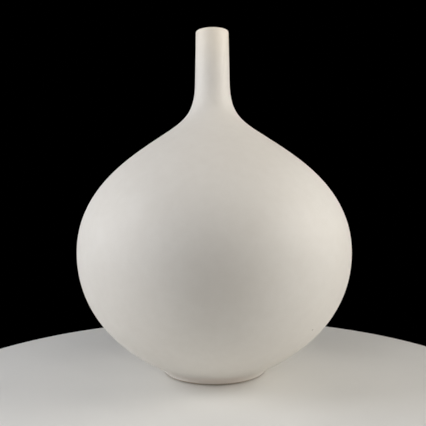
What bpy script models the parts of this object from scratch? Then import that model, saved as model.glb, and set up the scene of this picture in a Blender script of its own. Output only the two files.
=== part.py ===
"""Round-bellied ceramic vase with a slender neck.

The clay is thrown in sections: a foot ring, a lower body, an upper body and a neck. Slip joins them at
three seams, and a matt glaze outside and a glossy one inside cover the clay.
Metres, +Z up. The origin is on the floor, under the middle of the foot.
"""

import bisect
import math

import bpy
from mathutils import Vector
from mathutils.geometry import interpolate_bezier

# Heights of the glazed outside, stacked from the floor up
FOOT_HEIGHT = 0.007
BELLY_RISE = 0.1215
SHOULDER_RISE = 0.110
COLLAR_RISE = 0.068
NECK_LENGTH = 0.0535

# Radii of the glazed outside, how far the foot leans out, and how far the neck draws in to the mouth
FOOT_RADIUS = 0.0532
FOOT_FLARE = 0.0046
BELLY_RADIUS = 0.1432
SHOULDER_RADIUS = 0.0709
NECK_RADIUS = 0.0182
NECK_TAPER = 0.001

# Slopes of the outside, from the level
BASE_SLOPE = math.radians(27)
SHOULDER_SLOPE = math.radians(34.5)

# How far the outside keeps its direction before it bends
BASE_REACH = 0.0225
BELLY_REACH_DOWN = 0.0761
BELLY_REACH_UP = 0.059
SHOULDER_REACH_DOWN = 0.032
SHOULDER_REACH_UP = 0.0455
NECK_REACH_DOWN = 0.0397

# Walls, measured from glaze to glaze, and the edges
BODY_WALL = 0.0075
NECK_WALL = 0.0058
FLOOR_THICKNESS = 0.008
FOOT_WIDTH = 0.010
FOOT_ROUNDING = 0.001
LIP_ROUNDING = 0.0024

# Slip joints: the rim of each section has a V that the next section's rim sits in
SLIP = 0.001
JOINT_DEPTH = 0.0015

# Glaze: bare clay below the glaze line, and the matt coat runs a little way down inside the mouth
GLAZE = 0.0006
GLAZE_LINE = 0.0015
MOUTH_OVERLAP = 0.008

# Clearance between neighbouring pieces
FIT_GAP = 0.0003

# Fineness of the turned surfaces
SEGMENTS = 48
CURVE_STEPS = 8
FINE_POINTS = 400
ROUND_STEPS = 3
SAME_POINT = 1e-6

BELLY_HEIGHT = FOOT_HEIGHT + BELLY_RISE
SHOULDER_HEIGHT = BELLY_HEIGHT + SHOULDER_RISE
ROOT_HEIGHT = SHOULDER_HEIGHT + COLLAR_RISE
HEIGHT = ROOT_HEIGHT + NECK_LENGTH
MOUTH_RADIUS = NECK_RADIUS - NECK_TAPER
CLAY_DEPTH = GLAZE + FIT_GAP
SEAM_HALF = SLIP / 2 + FIT_GAP
FOOT_INNER_RADIUS = FOOT_RADIUS - FOOT_WIDTH
FOOT_SLIP_TOP = FOOT_HEIGHT - FIT_GAP
FOOT_SLIP_BOTTOM = FOOT_SLIP_TOP - SLIP
FOOT_RING_TOP = FOOT_SLIP_BOTTOM - FIT_GAP
MOUTH_GLAZE_END = HEIGHT - MOUTH_OVERLAP

MATT_GLAZE = ((0.78, 0.75, 0.70), 0.65)
GLOSSY_GLAZE = ((0.80, 0.78, 0.73), 0.18)
BARE_CLAY = ((0.62, 0.53, 0.43), 0.85)
FIRED_SLIP = ((0.55, 0.46, 0.37), 0.80)


# Outlines: lists of points in the XZ plane, up the outside, over the lip and down the inside

def point(radius, height):
    return Vector((radius, 0, height))


def heading(slope):
    """The unit direction at an angle from the level, outwards."""
    return point(math.cos(slope), math.sin(slope))


def curve(start, start_reach, end_reach, end):
    """A smooth curve that leaves and arrives along its two reaches, with its points evenly spaced."""
    fine = interpolate_bezier(start, start + start_reach, end - end_reach, end, FINE_POINTS)
    travelled = [0]
    for here, after in zip(fine, fine[1:]):
        travelled.append(travelled[-1] + (after - here).length)
    step = travelled[-1] / CURVE_STEPS
    nearest = [bisect.bisect(travelled, step * i) for i in range(1, CURVE_STEPS)]
    return [start] + [fine[i] for i in nearest] + [end]


def arc(centre, radius, first, last):
    """A round edge between two angles from the level, outwards."""
    step = (last - first) / ROUND_STEPS
    return [centre + radius * heading(first + step * i) for i in range(ROUND_STEPS + 1)]


def joined(*runs):
    """One outline from runs that each start where the run before them ends."""
    outline = list(runs[0])
    for run in runs[1:]:
        outline += run[1:]
    return outline


def edge_normal(start, end):
    """The direction from an edge of the outline into the wall."""
    along = (end - start).normalized()
    return point(-along.z, along.x)


def sunk(outline, depths):
    """The outline moved into the wall, each point by its own depth."""
    normals = [edge_normal(start, end) for start, end in zip(outline, outline[1:])]
    arriving = [normals[0]] + normals
    leaving = normals + [normals[-1]]
    return [
        here + depth * (into + out) / (1 + into.dot(out))
        for here, depth, into, out in zip(outline, depths, arriving, leaving)
    ]


def between(outline, low, high):
    """The stretch of an outline between two heights, cut level at both ends."""
    kept = []
    for start, end in zip(outline, outline[1:]):
        rise = end.z - start.z
        if abs(rise) < SAME_POINT:
            first, last = (0, 1) if low <= start.z <= high else (1, 0)
        else:
            cuts = sorted(((low - start.z) / rise, (high - start.z) / rise))
            first, last = max(cuts[0], 0), min(cuts[1], 1)
        if first > last:
            continue
        for here in (start.lerp(end, first), start.lerp(end, last)):
            if not kept or (here - kept[-1]).length > SAME_POINT:
                kept.append(here)
    return kept


def body_curves():
    """The glazed outside from the crease above the foot to the root of the neck, as three curves."""
    crease = point(FOOT_RADIUS + FOOT_FLARE, FOOT_HEIGHT)
    belly = point(BELLY_RADIUS, BELLY_HEIGHT)
    shoulder = point(SHOULDER_RADIUS, SHOULDER_HEIGHT)
    root = point(NECK_RADIUS, ROOT_HEIGHT)
    up = heading(math.pi / 2)
    up_shoulder = heading(math.pi - SHOULDER_SLOPE)
    up_neck = (point(MOUTH_RADIUS, HEIGHT) - root).normalized()
    lower = curve(crease, BASE_REACH * heading(BASE_SLOPE), BELLY_REACH_DOWN * up, belly)
    upper = curve(belly, BELLY_REACH_UP * up, SHOULDER_REACH_DOWN * up_shoulder, shoulder)
    collar = curve(shoulder, SHOULDER_REACH_UP * up_shoulder, NECK_REACH_DOWN * up_neck, root)
    return lower, upper, collar


def lip_rounding():
    return min(LIP_ROUNDING, NECK_WALL / 2 - FIT_GAP)


def crown():
    return point(MOUTH_RADIUS - NECK_WALL / 2, HEIGHT)


def glazed_outside():
    """Up the outside, from below the floor to the crown of the lip."""
    body = joined(*body_curves())
    foot = point(FOOT_RADIUS, 0)
    below_floor = 2 * foot - body[0]
    rounding = lip_rounding()
    lip = arc(point(MOUTH_RADIUS - rounding, HEIGHT - rounding), rounding, 0, math.pi / 2)
    return [below_floor] + body + lip + [crown()]


def glazed_inside():
    """Down the inside, from the crown of the lip to the middle of the floor."""
    lower, upper, collar = body_curves()
    thinning = [i / (len(collar) - 1) for i in range(1, len(collar))]
    walls = [BODY_WALL] * len(joined(lower, upper))
    walls += [BODY_WALL + share * (NECK_WALL - BODY_WALL) for share in thinning]
    inside = sunk(joined(lower, upper, collar), walls)
    floor = FOOT_HEIGHT + FLOOR_THICKNESS
    rounding = lip_rounding()
    lip_centre = point(MOUTH_RADIUS - NECK_WALL + rounding, HEIGHT - rounding)
    lip = arc(lip_centre, rounding, math.pi / 2, math.pi)
    return [crown()] + lip + between(inside, floor, math.inf)[::-1] + [point(0, floor)]


def wall_sides(depth):
    """The outside and the inside of the wall at one depth under the glazed surface."""
    outside, inside = glazed_outside(), glazed_inside()
    outline = joined(outside, inside)
    moved = sunk(outline, [depth] * len(outline))
    return moved[:len(outside)], moved[len(outside) - 1:]


# Pieces: each is a profile that a Screw modifier turns round the Z axis

def valley(one_side, other_side):
    """The bottom of the V in a joint, half way through the wall."""
    return (one_side + other_side) / 2 - point(0, JOINT_DEPTH)


def ring_section(low, high):
    """A band of the clay wall with a V-shaped joint at its top and bottom."""
    outside, inside = wall_sides(CLAY_DEPTH)
    outer = between(outside, low, high)
    inner = between(inside, low, high)
    return outer + [valley(outer[-1], inner[0])] + inner + [valley(inner[-1], outer[0])]


def foot_ring_profile():
    outer = between(wall_sides(CLAY_DEPTH)[0], FOOT_ROUNDING, FOOT_RING_TOP)
    inner_edge = point(FOOT_INNER_RADIUS + FOOT_ROUNDING, FOOT_ROUNDING)
    outer_edge = point(outer[0].x - FOOT_ROUNDING, FOOT_ROUNDING)
    inner_round = arc(inner_edge, FOOT_ROUNDING, math.pi, 1.5 * math.pi)
    outer_round = arc(outer_edge, FOOT_ROUNDING, 1.5 * math.pi, 2 * math.pi)
    return outer + [point(FOOT_INNER_RADIUS, FOOT_RING_TOP)] + inner_round + outer_round[:-1]


def foot_slip_profile():
    outer = between(wall_sides(CLAY_DEPTH)[0], FOOT_SLIP_BOTTOM, FOOT_SLIP_TOP)
    inner = [point(FOOT_INNER_RADIUS, FOOT_SLIP_TOP), point(FOOT_INNER_RADIUS, FOOT_SLIP_BOTTOM)]
    return outer + inner


def lower_body_profile():
    outside, inside = wall_sides(CLAY_DEPTH)
    outer = between(outside, FOOT_HEIGHT, BELLY_HEIGHT - SEAM_HALF)
    inner = between(inside, -math.inf, BELLY_HEIGHT - SEAM_HALF)
    return [point(0, FOOT_HEIGHT)] + outer + [valley(outer[-1], inner[0])] + inner


def slip_profile(height):
    return ring_section(height - SLIP / 2, height + SLIP / 2)


def upper_body_profile():
    return ring_section(BELLY_HEIGHT + SEAM_HALF, ROOT_HEIGHT - SEAM_HALF)


def neck_profile():
    outside, inside = wall_sides(CLAY_DEPTH)
    outer = between(outside, ROOT_HEIGHT + SEAM_HALF, math.inf)
    inner = between(inside, ROOT_HEIGHT + SEAM_HALF, math.inf)
    return joined(outer, inner) + [valley(inner[-1], outer[0])]


def outer_glaze_profile():
    """The matt coat, from the glaze line over the lip and a little way down inside the mouth."""
    runs = []
    for depth in (0, GLAZE):
        outside, inside = wall_sides(depth)
        outer = between(outside, GLAZE_LINE, math.inf)
        runs.append(joined(outer, between(inside, MOUTH_GLAZE_END, math.inf)))
    face, back = runs
    return face + back[::-1]


def inner_glaze_profile():
    """The glossy lining, from under the matt coat's end down to the middle of the floor."""
    top = MOUTH_GLAZE_END - FIT_GAP
    face, back = (between(wall_sides(depth)[1], -math.inf, top) for depth in (0, GLAZE))
    return back[::-1] + face


def finish(name, colour, roughness):
    material = bpy.data.materials.new(name)
    material.use_nodes = True
    shader = material.node_tree.nodes["Principled BSDF"]
    shader.inputs["Base Color"].default_value = (*colour, 1)
    shader.inputs["Roughness"].default_value = roughness
    shader.inputs["Metallic"].default_value = 0
    return material


def turned(name, profile, look, parent):
    """A piece turned from its profile, which is closed unless both its ends are on the axis."""
    seat = point(0, min(here.z for here in profile))
    downwards = [here - seat for here in reversed(profile)]
    edges = [(i, i + 1) for i in range(len(downwards) - 1)]
    if profile[0].x > SAME_POINT:
        edges.append((len(downwards) - 1, 0))
    mesh = bpy.data.meshes.new(name)
    mesh.from_pydata(downwards, edges, [])
    mesh.materials.append(finish(name, *look))
    piece = bpy.data.objects.new(name, mesh)
    piece.location = seat
    piece.parent = parent
    screw = piece.modifiers.new("Turn", "SCREW")
    screw.axis = "Z"
    screw.angle = 2 * math.pi
    screw.steps = screw.render_steps = SEGMENTS
    screw.use_merge_vertices = True
    screw.merge_threshold = SAME_POINT
    screw.use_smooth_shade = True
    return piece


def main():
    for old in list(bpy.data.objects):
        bpy.data.objects.remove(old)
    collection = bpy.data.collections.new("ceramic_vase")
    bpy.context.scene.collection.children.link(collection)
    vase = bpy.data.objects.new("vase", None)
    collection.objects.link(vase)
    pieces = [
        ("foot_ring", foot_ring_profile(), BARE_CLAY),
        ("foot_slip_seam", foot_slip_profile(), FIRED_SLIP),
        ("lower_body", lower_body_profile(), BARE_CLAY),
        ("belly_slip_seam", slip_profile(BELLY_HEIGHT), FIRED_SLIP),
        ("upper_body", upper_body_profile(), BARE_CLAY),
        ("neck_slip_seam", slip_profile(ROOT_HEIGHT), FIRED_SLIP),
        ("neck", neck_profile(), BARE_CLAY),
        ("outer_glaze", outer_glaze_profile(), MATT_GLAZE),
        ("inner_glaze", inner_glaze_profile(), GLOSSY_GLAZE),
    ]
    for name, profile, look in pieces:
        collection.objects.link(turned(name, profile, look, vase))


main()
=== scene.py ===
import math

import bmesh
import bpy
from mathutils import Matrix, Vector, noise
from mathutils.geometry import interpolate_bezier


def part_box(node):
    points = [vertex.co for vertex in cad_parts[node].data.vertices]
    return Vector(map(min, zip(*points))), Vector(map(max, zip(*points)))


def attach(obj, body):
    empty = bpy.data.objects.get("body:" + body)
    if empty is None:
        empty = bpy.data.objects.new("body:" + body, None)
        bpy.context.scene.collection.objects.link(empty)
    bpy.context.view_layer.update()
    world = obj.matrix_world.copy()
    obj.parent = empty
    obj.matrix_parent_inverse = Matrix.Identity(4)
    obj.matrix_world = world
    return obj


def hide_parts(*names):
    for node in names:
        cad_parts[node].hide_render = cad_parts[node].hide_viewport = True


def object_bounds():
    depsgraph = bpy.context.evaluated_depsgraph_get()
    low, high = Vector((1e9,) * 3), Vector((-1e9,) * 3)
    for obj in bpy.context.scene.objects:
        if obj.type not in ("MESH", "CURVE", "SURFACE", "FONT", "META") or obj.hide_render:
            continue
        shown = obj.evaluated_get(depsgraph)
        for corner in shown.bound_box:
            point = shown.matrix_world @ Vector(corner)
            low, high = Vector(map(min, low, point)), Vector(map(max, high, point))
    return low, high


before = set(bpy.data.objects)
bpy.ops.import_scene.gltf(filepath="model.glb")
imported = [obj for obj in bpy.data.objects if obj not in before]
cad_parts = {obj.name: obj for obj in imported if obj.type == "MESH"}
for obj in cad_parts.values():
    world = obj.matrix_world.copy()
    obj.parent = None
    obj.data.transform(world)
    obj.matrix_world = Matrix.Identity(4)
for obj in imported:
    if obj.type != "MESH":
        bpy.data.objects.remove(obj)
cad_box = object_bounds()

# Heights of the glazed outside, stacked as in the solids
BELLY_RISE = 0.1215
SHOULDER_RISE = 0.110
COLLAR_RISE = 0.068
FOOT_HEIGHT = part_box("lower_body")[0].z
BELLY_HEIGHT = FOOT_HEIGHT + BELLY_RISE
SHOULDER_HEIGHT = BELLY_HEIGHT + SHOULDER_RISE
ROOT_HEIGHT = SHOULDER_HEIGHT + COLLAR_RISE
HEIGHT = cad_box[1].z

# Radii of the glazed outside, how far the foot leans out, and how far the neck draws in to the mouth
FOOT_RADIUS = 0.0532
FOOT_FLARE = 0.0046
BELLY_RADIUS = cad_box[1].x
SHOULDER_RADIUS = 0.0709
NECK_RADIUS = 0.0182
NECK_TAPER = 0.001
CREASE_RADIUS = FOOT_RADIUS + FOOT_FLARE
MOUTH_RADIUS = NECK_RADIUS - NECK_TAPER

# Slopes of the outside, from the level
BASE_SLOPE = math.radians(27)
SHOULDER_SLOPE = math.radians(34.5)

# How far the outside keeps its direction before it bends
BASE_REACH = 0.0225
BELLY_REACH_DOWN = 0.0761
BELLY_REACH_UP = 0.059
SHOULDER_REACH_DOWN = 0.032
SHOULDER_REACH_UP = 0.0455
NECK_REACH_DOWN = 0.0397

# The soft crease above the foot: how far it reaches down and up, and how much of that it keeps straight
CREASE_REACH_DOWN = 0.0046
CREASE_REACH_UP = 0.013
CREASE_STRAIGHT = 2 / 3

# Walls, measured from glaze to glaze, coats and edges
BODY_WALL = 0.0075
NECK_WALL = 0.0058
LIP_ROUNDING = 0.0024
LIP_BASE = HEIGHT - LIP_ROUNDING
GLAZE = 0.0006
FIT_GAP = 0.0003
CLAY_DEPTH = GLAZE + FIT_GAP
GLAZE_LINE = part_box("outer_glaze")[0].z
MOUTH_GLAZE_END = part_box("inner_glaze")[1].z
FLOOR_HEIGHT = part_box("inner_glaze")[0].z + GLAZE
FOOT_WIDTH = 0.010
FOOT_INNER_RADIUS = FOOT_RADIUS - FOOT_WIDTH
FOOT_ROUNDING = 0.001
FOOT_RING_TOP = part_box("foot_ring")[1].z

# Slip joints
SLIP = 0.001
SEAM_HALF = SLIP / 2 + FIT_GAP
JOINT_DEPTH = 0.0015

# How far the thrown body is out of line: it sways right and left up its height, right at the height given
WARP = 0.00024
WARP_HEIGHT = 0.10
WARP_LENGTH = 0.30

# Unevenness of the thrown and dipped outside: a slow and a quick one, in metres and waves per metre
SLOW_DEPTH = 0.00012
SLOW_WAVES = 9
QUICK_DEPTH = 0.00004
QUICK_WAVES = 40

# The run from a coat's end over which its unevenness sets in
FADE = 0.004

# Finger ridges under the lining: a height, and a swell that it is multiplied by
RIDGE_HEIGHT = 0.00022
RIDGE_PITCH = 0.0062
SWELL_MEAN = 0.6
SWELL_CHANGE = 0.4
SWELL_WAVES = 15

# Lines that a turning tool leaves in the clay
TOOL_DEPTH = 0.00004
TOOL_CHANGE = 0.00003
TOOL_WAVES = 60
TOOL_PITCH = 0.0014

# Grooves that a trimming loop leaves under the floor, clear of the foot ring
TRIM_DEPTH = 0.00010
TRIM_CHANGE = 0.00006
TRIM_WAVES = 25
TRIM_PITCH = 0.0036
TRIM_MARGIN = 0.001
TRIM_RADIUS = FOOT_INNER_RADIUS - TRIM_MARGIN

# Fineness of the turned meshes
SEGMENTS = 180
CURVE_POINTS = 60
CREASE_POINTS = 24
NECK_POINTS = 40
MOUTH_POINTS = 8
FLOOR_POINTS = 30
FOOT_POINTS = 25
FOOT_INSIDE_POINTS = 16
SOLE_POINTS = 40
UNDERSIDE_POINTS = 90
SHORT_POINTS = 4
ROUND_STEPS = 8
BACK_STEP = 3
SHARP_ANGLE = math.radians(45)
ON_AXIS = 1e-6

# Camera: a 50 mm lens, a little above mid-height, tipped down and rolled a trifle
LENS = 50
CAMERA_PLACE = Vector((-0.0007, -0.6301, 0.1947))
CAMERA_PITCH = 0.04199
CAMERA_ROLL = 0.00944

# What the lights face, and how far off most of them stand
LIGHT_AIM = Vector((0, 0, 0.15))
LIGHT_DISTANCE = 1.25

# The round pale top that the vase stands on
TOP_RADIUS = 0.3035
TOP_CENTRE = Vector((-0.0055, -0.0633, -0.0002))
TOP_THICKNESS = 0.018
TOP_ROUNDING = 0.004

# Where the outer glaze is darker and warmer: low down, and most at the front of the foot; partly the
# thinner glaze there, partly painted shade on the foot wall
THIN_SHADE_BELOW = 0.005
THIN_SHADE_TOP = 0.014
THIN_SHADE_PLACE = (0, -FOOT_RADIUS, 0)
THIN_SHADE_NEAR = 0.018
THIN_SHADE_FAR = 0.046
THIN_SHADE_REST = 0.15

# The one speck that stands out
SPECK_PLACE = (0.0914, -0.0826, 0.0614)
SPECK_RADIUS = 0.0012
SPECK_STRENGTH = 0.8

# The share of a speck's radius that has its full colour, for that one and for the others
SPECK_CORE = 0.5
SMALL_SPECK_CORE = 0.6

# The radius of a grain of clay, as a share of the cell that it lies in
GRAIN_FILL = 0.35

# The part of a noise texture's range that is stretched to the full range
NOISE_LOW = 0.3
NOISE_HIGH = 0.7

# Colours
GLAZE_PALE = (0.797, 0.769, 0.719)
GLAZE_WARM = (0.777, 0.745, 0.693)
# Painted light: a lighter, warmer glaze towards the top of the neck, where the light falls stronger
GLAZE_LIT_NECK_TOP = (0.852, 0.795, 0.697)
# Darker, warmer glaze low on the foot: partly the thinner glaze there, partly painted shade
GLAZE_THIN_AND_SHADED = (0.758, 0.688, 0.628)
GLAZE_GRAIN = (0.60, 0.56, 0.50)
SPECK_BROWN = (0.20, 0.14, 0.09)
LINING_PALE = (0.80, 0.78, 0.73)
LINING_WARM = (0.77, 0.74, 0.68)
CLAY_PALE = (0.50, 0.42, 0.33)
CLAY_DARK = (0.43, 0.35, 0.27)
GRAIN_BROWN = (0.34, 0.26, 0.18)
SLIP_PALE = (0.57, 0.48, 0.39)
SLIP_DARK = (0.50, 0.41, 0.32)
TOP_PALE = (0.778, 0.773, 0.750)
TOP_DULL = (0.763, 0.757, 0.733)
COOL_LIGHT = (0.967, 0.976, 1.0)
WARM_LIGHT = (1.0, 0.972, 0.927)
AMBER_LIGHT = (1.0, 0.933, 0.864)


# Outlines: lists of points in the XZ plane

def point(radius, height):
    return Vector((radius, 0, height))


def heading(slope):
    """The unit direction at an angle from the level, outwards."""
    return point(math.cos(slope), math.sin(slope))


def straight(start, end, count):
    """Evenly spaced points from start to end."""
    return [start.lerp(end, i / (count - 1)) for i in range(count)]


def curve(start, start_reach, end_reach, end, count=CURVE_POINTS):
    """A smooth curve that leaves and arrives along its two reaches."""
    return interpolate_bezier(start, start + start_reach, end - end_reach, end, count)


def arc(centre, radius, first, last):
    """A round edge between two angles from the level, outwards."""
    step = (last - first) / ROUND_STEPS
    return [centre + radius * heading(first + step * i) for i in range(ROUND_STEPS + 1)]


def joined(*runs):
    """One outline from runs that each start where the run before them ends."""
    outline = list(runs[0])
    for run in runs[1:]:
        outline += run[1:]
    return outline


def above(outline, low):
    """The part of a rising outline above a height, cut level there."""
    first = next(i for i, here in enumerate(outline) if here.z > low)
    start, end = outline[first - 1], outline[first]
    return [start.lerp(end, (low - start.z) / (end.z - start.z))] + outline[first:]


def between(outline, low, high):
    """The part of a rising outline between two heights, cut level at both."""
    return [here for here in above(outline, low) if here.z < high] + above(outline, high)[:1]


def normals_of(outline, closed=False):
    """The direction into the wall at each point, scaled so that offset edges stay parallel."""
    count = len(outline)
    edges = []
    for i in range(count if closed else count - 1):
        along = (outline[(i + 1) % count] - outline[i]).normalized()
        edges.append(point(-along.z, along.x))
    arriving = [edges[-1] if closed else edges[0]] + edges[:count - 1]
    leaving = edges if closed else edges + [edges[-1]]
    return [(one + other) / (1 + one.dot(other)) for one, other in zip(arriving, leaving)]


def sunk(outline, depths):
    """The outline moved into the wall, each point by its own depth."""
    return [here + depth * into for here, depth, into in zip(outline, depths, normals_of(outline))]


def foot_wall(height):
    """A point on the outside of the foot."""
    return point(FOOT_RADIUS, 0).lerp(point(CREASE_RADIUS, FOOT_HEIGHT), height / FOOT_HEIGHT)


def body_curves():
    """The glazed outside from the crease above the foot to the root of the neck, as three curves."""
    crease = point(CREASE_RADIUS, FOOT_HEIGHT)
    belly = point(BELLY_RADIUS, BELLY_HEIGHT)
    shoulder = point(SHOULDER_RADIUS, SHOULDER_HEIGHT)
    root = point(NECK_RADIUS, ROOT_HEIGHT)
    up = heading(math.pi / 2)
    up_shoulder = heading(math.pi - SHOULDER_SLOPE)
    up_neck = (point(MOUTH_RADIUS, HEIGHT) - root).normalized()
    lower = curve(crease, BASE_REACH * heading(BASE_SLOPE), BELLY_REACH_DOWN * up, belly)
    upper = curve(belly, BELLY_REACH_UP * up, SHOULDER_REACH_DOWN * up_shoulder, shoulder)
    collar = curve(shoulder, SHOULDER_REACH_UP * up_shoulder, NECK_REACH_DOWN * up_neck, root)
    return lower, upper, collar


def lip(rounding):
    """The two round edges of the lip, outer and inner, about the same middles for glaze and clay."""
    outer_middle = point(MOUTH_RADIUS - LIP_ROUNDING, LIP_BASE)
    inner_middle = point(MOUTH_RADIUS - NECK_WALL + LIP_ROUNDING, LIP_BASE)
    outer = arc(outer_middle, rounding, 0, math.pi / 2)
    return outer, arc(inner_middle, rounding, math.pi / 2, math.pi)


def coat_face():
    """The matt outside: from the glaze line, round the soft crease, over the lip and into the mouth."""
    body = joined(*body_curves())
    crease = body[0]
    beyond = next(i for i, here in enumerate(body) if (here - crease).length > CREASE_REACH_UP)
    low = crease + CREASE_REACH_DOWN * (foot_wall(0) - crease).normalized()
    high = body[beyond]
    rise = CREASE_STRAIGHT * (crease - low)
    spread = CREASE_STRAIGHT * (high - crease)
    cove = curve(low, rise, spread, high, CREASE_POINTS)
    wall = straight(foot_wall(GLAZE_LINE + GLAZE / 2), low, SHORT_POINTS)
    outer_lip, inner_lip = lip(LIP_ROUNDING)
    neck_wall = straight(body[-1], outer_lip[0], NECK_POINTS)
    mouth_end = point(MOUTH_RADIUS - NECK_WALL, MOUTH_GLAZE_END + GLAZE)
    mouth = straight(inner_lip[-1], mouth_end, MOUTH_POINTS)
    return joined(wall, cove, body[beyond:], neck_wall, outer_lip) + joined(inner_lip, mouth)


def lining_face():
    """The glossy inside, from the end of the matt coat down to the middle of the floor."""
    top = MOUTH_GLAZE_END + FIT_GAP
    inside = above(inner_side(0, top), FLOOR_HEIGHT)[::-1]
    return joined(inside, straight(inside[-1], point(0, FLOOR_HEIGHT), FLOOR_POINTS))


def coat_back(face):
    """The side of a coat that lies on the clay, from the end of its face to the start, in wider steps."""
    back = sunk(face, [GLAZE] * len(face))[::-1]
    return back[:-1:BACK_STEP] + back[-1:]


def outer_side():
    """The outside of the clay, under the matt coat, from the floor up to the lip."""
    body = joined(*body_curves())
    foot = straight(foot_wall(0), foot_wall(FOOT_HEIGHT), FOOT_POINTS)
    neck_wall = straight(body[-1], point(MOUTH_RADIUS, LIP_BASE), NECK_POINTS)
    outline = joined(foot, body, neck_wall)
    return sunk(outline, [CLAY_DEPTH] * len(outline))


def inner_side(cover, top):
    """The inside of the wall, a cover behind its glazed face, from below the floor up to a height."""
    lower, upper, collar = body_curves()
    body = joined(lower, upper, collar)
    first_thin = len(body) - len(collar)
    share = [max(0, i - first_thin) / (len(collar) - 1) for i in range(len(body))]
    inside = sunk(body, [BODY_WALL + part * (NECK_WALL - BODY_WALL) - cover for part in share])
    mouth = point(MOUTH_RADIUS - NECK_WALL + cover, top)
    return joined(inside, straight(inside[-1], mouth, NECK_POINTS))


def valley(one_side, other_side):
    """The bottom of the V in a joint, half way through the wall."""
    return (one_side + other_side) / 2 - point(0, JOINT_DEPTH)


def rounded_end(start, end):
    """The half round that leads from one side of a coat to the other, outside both."""
    centre = (start + end) / 2
    turns = [math.pi * i / ROUND_STEPS for i in range(1, ROUND_STEPS)]
    return [centre + Matrix.Rotation(-angle, 3, "Y") @ (start - centre) for angle in turns]


# Reliefs: how far a face stands out at a place, given also its run along the profile

def varied(place, mean, change, waves):
    """A value that wanders round its mean from place to place."""
    return mean + change * noise.noise(waves * place)


def spiral(place, run, pitch):
    """A wave along the profile that climbs one pitch in a turn, as a tool or a finger leaves it."""
    return math.sin(2 * math.pi * run / pitch + math.atan2(place.y, place.x))


def uneven(place, run):
    """A thrown body a trifle out of line, dipped by hand; it fades at the glaze line and over the lip."""
    radius = place.xy.length
    sway = WARP * math.cos(2 * math.pi * (place.z - WARP_HEIGHT) / WARP_LENGTH)
    rough = varied(place, 0, SLOW_DEPTH, SLOW_WAVES) + varied(place, 0, QUICK_DEPTH, QUICK_WAVES)
    inside_lip = MOUTH_RADIUS - NECK_WALL + LIP_ROUNDING
    fade = min(1, run / FADE, max(0, radius - inside_lip) / LIP_ROUNDING)
    return fade * (sway * place.x / radius + rough)


def thrown(place, run):
    """Finger ridges under the glaze, from the mouth down to the middle of the floor."""
    swell = varied(place, SWELL_MEAN, SWELL_CHANGE, SWELL_WAVES)
    return RIDGE_HEIGHT * swell * min(1, run / FADE) * spiral(place, run, RIDGE_PITCH)


def tooled(place, run):
    """Fine lines that a turning tool cuts into leather-hard clay."""
    depth = varied(place, TOOL_DEPTH, TOOL_CHANGE, TOOL_WAVES)
    return min(0, depth * spiral(place, run, TOOL_PITCH))


def trimmed(place, run):
    """The wider grooves of a trimming loop under the floor."""
    if place.xy.length > TRIM_RADIUS:
        return 0
    depth = varied(place, TRIM_DEPTH, TRIM_CHANGE, TRIM_WAVES)
    return depth * (spiral(place, run, TRIM_PITCH) - 1)


# Meshes

def turned(name, face, rest=(), relief=None):
    """A closed piece turned round the Z axis, with the relief on its face and the rest plain."""
    profile = list(face) + list(rest)
    into = normals_of(profile, True)
    bm = bmesh.new()
    rings = []
    run = 0
    for i, here in enumerate(profile):
        run += (here - profile[i - 1]).length if i else 0
        ring = []
        for k in range(SEGMENTS if here.x > ON_AXIS else 1):
            turn = Matrix.Rotation(2 * math.pi * k / SEGMENTS, 3, "Z")
            place = turn @ here
            if relief and i < len(face) and here.x > ON_AXIS:
                place -= relief(place, run) * (turn @ into[i])
            ring.append(bm.verts.new(place))
        rings.append(ring)
    for ring, after in zip(rings, rings[1:] + rings[:1]):
        for k in range(SEGMENTS if len(ring) + len(after) > 2 else 0):
            beside = (k + 1) % SEGMENTS
            corners = [ring[k % len(ring)], after[k % len(after)]]
            corners += [after[beside % len(after)], ring[beside % len(ring)]]
            face_made = bm.faces.new(dict.fromkeys(corners))
            face_made.smooth = True
    bmesh.ops.recalc_face_normals(bm, faces=bm.faces)
    mesh = bpy.data.meshes.new(name)
    bm.to_mesh(mesh)
    bm.free()
    mesh.set_sharp_from_angle(angle=SHARP_ANGLE)
    piece = bpy.data.objects.new(name, mesh)
    bpy.context.scene.collection.objects.link(piece)
    return piece


def outer_glaze():
    """The matt coat, with round ends at the glaze line and inside the mouth."""
    face = coat_face()
    back = coat_back(face)
    rest = rounded_end(face[-1], back[0]) + back + rounded_end(back[-1], face[0])
    return turned("matt_coat", face, rest, uneven)


def inner_glaze():
    """The glossy lining."""
    face = lining_face()
    return turned("glossy_lining", face, coat_back(face), thrown)


def foot_ring():
    """The bare ring that the vase stands on."""
    outer = between(outer_side(), FOOT_ROUNDING, FOOT_RING_TOP)
    inner_edge = point(FOOT_INNER_RADIUS + FOOT_ROUNDING, FOOT_ROUNDING)
    outer_edge = point(outer[0].x - FOOT_ROUNDING, FOOT_ROUNDING)
    inner_round = arc(inner_edge, FOOT_ROUNDING, math.pi, 1.5 * math.pi)
    outer_round = arc(outer_edge, FOOT_ROUNDING, 1.5 * math.pi, 2 * math.pi)
    inner_wall = straight(point(FOOT_INNER_RADIUS, FOOT_RING_TOP), inner_round[0], FOOT_INSIDE_POINTS)
    sole = straight(inner_round[-1], outer_round[0], SOLE_POINTS)
    face = joined(inner_wall, inner_round, sole, outer_round) + outer[1:]
    return turned("turned_foot", face, (), tooled)


def foot_slip():
    """The slip between the foot ring and the floor."""
    low, high = (corner.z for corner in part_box("foot_slip_seam"))
    inner = straight(point(FOOT_INNER_RADIUS, high), point(FOOT_INNER_RADIUS, low), SHORT_POINTS)
    return turned("foot_slip", between(outer_side(), low, high), inner)


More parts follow.
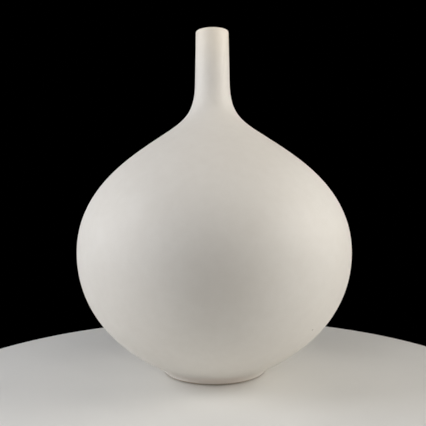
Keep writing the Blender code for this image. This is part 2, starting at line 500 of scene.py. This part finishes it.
def lower_body():
    """The lower bowl with the floor, trimmed underneath."""
    top = BELLY_HEIGHT - SEAM_HALF
    floor = FLOOR_HEIGHT - CLAY_DEPTH
    outer = between(outer_side(), FOOT_HEIGHT, top)
    inner = between(inner_side(CLAY_DEPTH, HEIGHT), floor, top)[::-1]
    underside = straight(point(0, FOOT_HEIGHT), outer[0], UNDERSIDE_POINTS)
    rest = outer[1:] + [valley(outer[-1], inner[0])] + inner + [point(0, floor)]
    return turned("trimmed_bowl", underside, rest, trimmed)


def wall_band(name, low, high):
    """A band of the clay wall with a V-shaped joint at its top and bottom."""
    outer = between(outer_side(), low, high)
    inner = between(inner_side(CLAY_DEPTH, HEIGHT), low, high)[::-1]
    rest = [valley(outer[-1], inner[0])] + inner + [valley(inner[-1], outer[0])]
    return turned(name, outer, rest, tooled)


def belly_slip():
    return wall_band("belly_slip", BELLY_HEIGHT - SLIP / 2, BELLY_HEIGHT + SLIP / 2)


def upper_body():
    return wall_band("thrown_shoulder", BELLY_HEIGHT + SEAM_HALF, ROOT_HEIGHT - SEAM_HALF)


def neck_slip():
    return wall_band("neck_slip", ROOT_HEIGHT - SLIP / 2, ROOT_HEIGHT + SLIP / 2)


def neck():
    """The tube of clay, with its lip under the glaze."""
    low = ROOT_HEIGHT + SEAM_HALF
    outer_lip, inner_lip = lip(LIP_ROUNDING - CLAY_DEPTH)
    outer = above(outer_side(), low)[:-1] + outer_lip
    inner = inner_lip + above(inner_side(CLAY_DEPTH, LIP_BASE), low)[-2::-1]
    return turned("thrown_neck", outer, inner + [valley(inner[-1], outer[0])], tooled)


def round_top():
    """The stage: a pale round top with a softened rim."""
    edge = arc(point(TOP_RADIUS - TOP_ROUNDING, -TOP_ROUNDING), TOP_ROUNDING, math.pi / 2, 0)
    face = [point(0, 0), point(TOP_RADIUS / 2, 0)] + edge
    top = turned("round_top", face, [point(TOP_RADIUS, -TOP_THICKNESS), point(0, -TOP_THICKNESS)])
    top.location = TOP_CENTRE
    return top


# Materials

def add(tree, kind, settings=None, **inputs):
    """A shader node; each input, named by its socket, takes a value or another node's output."""
    node = tree.nodes.new(kind)
    for name, value in (settings or {}).items():
        setattr(node, name, value)
    for name, value in inputs.items():
        fill(tree, node.inputs[name.replace("_", " ")], value)
    return node


def fill(tree, socket, value):
    """Gives a socket a value or another node's output."""
    if isinstance(value, bpy.types.NodeSocket):
        tree.links.new(value, socket)
    else:
        socket.default_value = value


def reckon(tree, kind, operation, one, other):
    """A mathematical node that works on two values, each fixed or another node's output."""
    node = add(tree, kind, {"operation": operation})
    fill(tree, node.inputs[0], one)
    fill(tree, node.inputs[1], other)
    return node


def product(tree, one, other):
    return reckon(tree, "ShaderNodeMath", "MULTIPLY", one, other).outputs[0]


def distance(tree, place, centre):
    """How far the surface is from a fixed place."""
    return reckon(tree, "ShaderNodeVectorMath", "DISTANCE", place, centre).outputs["Value"]


def ranged(tree, value, low, high, out_low, out_high):
    """The value carried smoothly from one range to another, and held at its ends."""
    settings = {"interpolation_type": "SMOOTHSTEP"}
    node = add(tree, "ShaderNodeMapRange", settings, Value=value, From_Min=low, From_Max=high,
               To_Min=out_low, To_Max=out_high)
    return node.outputs["Result"]


def mottle(tree, place, waves, detail=3.0):
    """Cloudy values round one half, by waves per metre."""
    return add(tree, "ShaderNodeTexNoise", Vector=place, Scale=waves, Detail=detail).outputs["Fac"]


def clouds(tree, place, waves, low=0, high=1):
    """Cloudy values that cover a range."""
    return ranged(tree, mottle(tree, place, waves), NOISE_LOW, NOISE_HIGH, low, high)


def specks(tree, place, cells, radius, share, strength=1):
    """Small round spots in a share of the cells of a scattered grid, as values from 0 to their strength."""
    grid = add(tree, "ShaderNodeTexVoronoi", Vector=place, Scale=cells)
    edge = radius * cells
    near = ranged(tree, grid.outputs["Distance"], SMALL_SPECK_CORE * edge, edge, strength, 0)
    chance = add(tree, "ShaderNodeSeparateColor", Color=grid.outputs["Color"]).outputs["Red"]
    chosen = reckon(tree, "ShaderNodeMath", "LESS_THAN", chance, share).outputs[0]
    return product(tree, near, chosen)


def mixed(tree, share, one, other):
    """A blend of two colours, each a colour or another node's output."""
    both = [value if isinstance(value, bpy.types.NodeSocket) else (*value, 1) for value in (one, other)]
    return add(tree, "ShaderNodeMixRGB", Fac=share, Color1=both[0], Color2=both[1]).outputs["Color"]


def fresh(name):
    """A new material with its node tree and the coordinates of the piece in metres."""
    material = bpy.data.materials.new(name)
    material.use_nodes = True
    tree = material.node_tree
    return material, tree, add(tree, "ShaderNodeTexCoord").outputs["Object"]


def shade(tree, place, colour, roughness, gloss_waves,
          bump_waves, bump_strength, bump_depth, bump_detail=3.0):
    """Gives the shader its colour, a roughness that varies within a range, and a fine bumpiness."""
    shader = tree.nodes["Principled BSDF"]
    height = mottle(tree, place, bump_waves, bump_detail)
    bump = add(tree, "ShaderNodeBump", Strength=bump_strength, Distance=bump_depth, Height=height)
    tree.links.new(colour, shader.inputs["Base Color"])
    tree.links.new(clouds(tree, place, gloss_waves, *roughness), shader.inputs["Roughness"])
    tree.links.new(bump.outputs["Normal"], shader.inputs["Normal"])


def matt_glaze():
    material, tree, place = fresh("matt_glaze")
    colour = mixed(tree, clouds(tree, place, waves=14), GLAZE_PALE, GLAZE_WARM)
    height = add(tree, "ShaderNodeSeparateXYZ", Vector=place).outputs["Z"]
    # painted shade: the glaze low on the foot is darker and warmer, most at its front, partly for the
    # thinner glaze there
    front = ranged(tree, distance(tree, place, THIN_SHADE_PLACE), THIN_SHADE_NEAR, THIN_SHADE_FAR, 1, THIN_SHADE_REST)
    thin_and_shade = product(tree, ranged(tree, height, THIN_SHADE_BELOW, THIN_SHADE_TOP, 1, 0), front)
    colour = mixed(tree, thin_and_shade, colour, GLAZE_THIN_AND_SHADED)
    # painted light: the neck's glaze grows lighter from its root up to the lip
    colour = mixed(tree, ranged(tree, height, ROOT_HEIGHT, HEIGHT, 0, 1), colour, GLAZE_LIT_NECK_TOP)
    colour = mixed(tree, clouds(tree, place, waves=110, high=0.07), colour, GLAZE_GRAIN)
    colour = mixed(tree, clouds(tree, place, waves=900, high=0.05), colour, GLAZE_GRAIN)
    faint = specks(tree, place, cells=34, radius=0.00045, share=0.35, strength=0.25)
    colour = mixed(tree, faint, colour, SPECK_BROWN)
    from_speck = distance(tree, place, SPECK_PLACE)
    marked = ranged(tree, from_speck, SPECK_CORE * SPECK_RADIUS, SPECK_RADIUS, SPECK_STRENGTH, 0)
    colour = mixed(tree, marked, colour, SPECK_BROWN)
    shade(tree, place, colour, roughness=(0.54, 0.66), gloss_waves=60,
          bump_waves=650, bump_strength=0.12, bump_depth=0.0002)
    return material


def glossy_glaze():
    material, tree, place = fresh("glossy_glaze")
    colour = mixed(tree, clouds(tree, place, waves=22), LINING_PALE, LINING_WARM)
    colour = mixed(tree, specks(tree, place, cells=60, radius=0.0004, share=0.3), colour, SPECK_BROWN)
    shade(tree, place, colour, roughness=(0.12, 0.22), gloss_waves=80,
          bump_waves=260, bump_strength=0.15, bump_depth=0.0003)
    return material


def fired_clay(name, pale, dark, grain_cells):
    """Clay or slip, with brown grains."""
    material, tree, place = fresh(name)
    colour = mixed(tree, clouds(tree, place, waves=45), pale, dark)
    grains = specks(tree, place, cells=grain_cells, radius=GRAIN_FILL / grain_cells,
                    share=0.3, strength=0.35)
    colour = mixed(tree, grains, colour, GRAIN_BROWN)
    shade(tree, place, colour, roughness=(0.78, 0.94), gloss_waves=300,
          bump_waves=1100, bump_strength=0.35, bump_depth=0.0003, bump_detail=5)
    return material


def pale_top():
    material, tree, place = fresh("pale_top")
    colour = mixed(tree, clouds(tree, place, waves=6), TOP_PALE, TOP_DULL)
    shade(tree, place, colour, roughness=(0.46, 0.54), gloss_waves=30,
          bump_waves=500, bump_strength=0.05, bump_depth=0.0002)
    return material


def dress(piece, material):
    piece.data.materials.clear()
    piece.data.materials.append(material)


# Light and camera

def soft_light(name, turn, climb, width, power, colour, away=LIGHT_DISTANCE):
    """A round soft light that faces the vase, turned from the camera's side and raised, in degrees."""
    lamp = bpy.data.lights.new(name, "AREA")
    lamp.shape = "DISK"
    lamp.size = width
    lamp.energy = power
    lamp.color = colour
    holder = bpy.data.objects.new(name, lamp)
    swing = Matrix.Rotation(math.radians(turn), 4, "Z")
    tip = Matrix.Rotation(math.radians(90 - climb), 4, "X")
    back = Matrix.Translation((0, 0, away))
    holder.matrix_world = Matrix.Translation(LIGHT_AIM) @ swing @ tip @ back
    holder.visible_camera = False
    bpy.context.scene.collection.objects.link(holder)


def studio():
    """Big soft lights on both sides, weak ones at the front and the back, and four smaller, nearer ones."""
    soft_light("left_high", turn=-80, climb=22, width=0.8, power=6.84, colour=COOL_LIGHT)
    soft_light("left_low", turn=-80, climb=8, width=0.8, power=3.26, colour=COOL_LIGHT)
    soft_light("right_high", turn=80, climb=22, width=0.8, power=6.14, colour=WARM_LIGHT)
    soft_light("right_low", turn=80, climb=8, width=0.8, power=2.91, colour=WARM_LIGHT)
    soft_light("near_left", turn=-70, climb=30, width=0.4, power=0.88, colour=COOL_LIGHT, away=0.8)
    soft_light("near_right", turn=70, climb=30, width=0.4, power=1.34, colour=WARM_LIGHT, away=0.8)
    soft_light("front_left", turn=-30, climb=8, width=0.7, power=1.34, colour=COOL_LIGHT)
    soft_light("front_right", turn=30, climb=8, width=0.7, power=1.78, colour=WARM_LIGHT)
    soft_light("above", turn=0, climb=67, width=0.1, power=0.075, colour=AMBER_LIGHT, away=0.38)
    soft_light("front_high", turn=0, climb=45, width=0.15, power=0.14, colour=AMBER_LIGHT, away=0.566)
    soft_light("rear_left", turn=-150, climb=15, width=0.7, power=0.68, colour=COOL_LIGHT)
    soft_light("back_high", turn=180, climb=38, width=0.7, power=1.08, colour=AMBER_LIGHT)
    world = bpy.data.worlds.new("dark")
    world.use_nodes = True
    world.node_tree.nodes["Background"].inputs["Color"].default_value = (0, 0, 0, 1)
    bpy.context.scene.world = world
    bpy.context.scene.view_settings.view_transform = "Standard"


def camera():
    lens = bpy.data.cameras.new("camera")
    lens.lens = LENS
    holder = bpy.data.objects.new("camera", lens)
    level = Matrix.Rotation(math.pi / 2 - CAMERA_PITCH, 4, "X")
    roll = Matrix.Rotation(-CAMERA_ROLL, 4, "Z")
    holder.matrix_world = Matrix.Translation(CAMERA_PLACE) @ level @ roll
    bpy.context.scene.collection.objects.link(holder)
    bpy.context.scene.camera = holder


def main():
    looks = {"matt_glaze": matt_glaze(), "glossy_glaze": glossy_glaze()}
    looks["bare_clay"] = fired_clay("bare_clay", CLAY_PALE, CLAY_DARK, grain_cells=420)
    looks["fired_slip"] = fired_clay("fired_slip", SLIP_PALE, SLIP_DARK, grain_cells=900)
    pieces = {"outer_glaze": (outer_glaze, "matt_glaze"), "inner_glaze": (inner_glaze, "glossy_glaze"),
              "foot_ring": (foot_ring, "bare_clay"), "foot_slip_seam": (foot_slip, "fired_slip"),
              "lower_body": (lower_body, "bare_clay"), "belly_slip_seam": (belly_slip, "fired_slip"),
              "upper_body": (upper_body, "bare_clay"), "neck_slip_seam": (neck_slip, "fired_slip"),
              "neck": (neck, "bare_clay")}
    for node, (make, slot) in pieces.items():
        piece = make()
        dress(piece, looks[slot])
        dress(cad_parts[node], looks[slot])
        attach(piece, "root")
        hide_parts(node)
    stage = round_top()
    dress(stage, pale_top())
    studio()
    camera()


main()
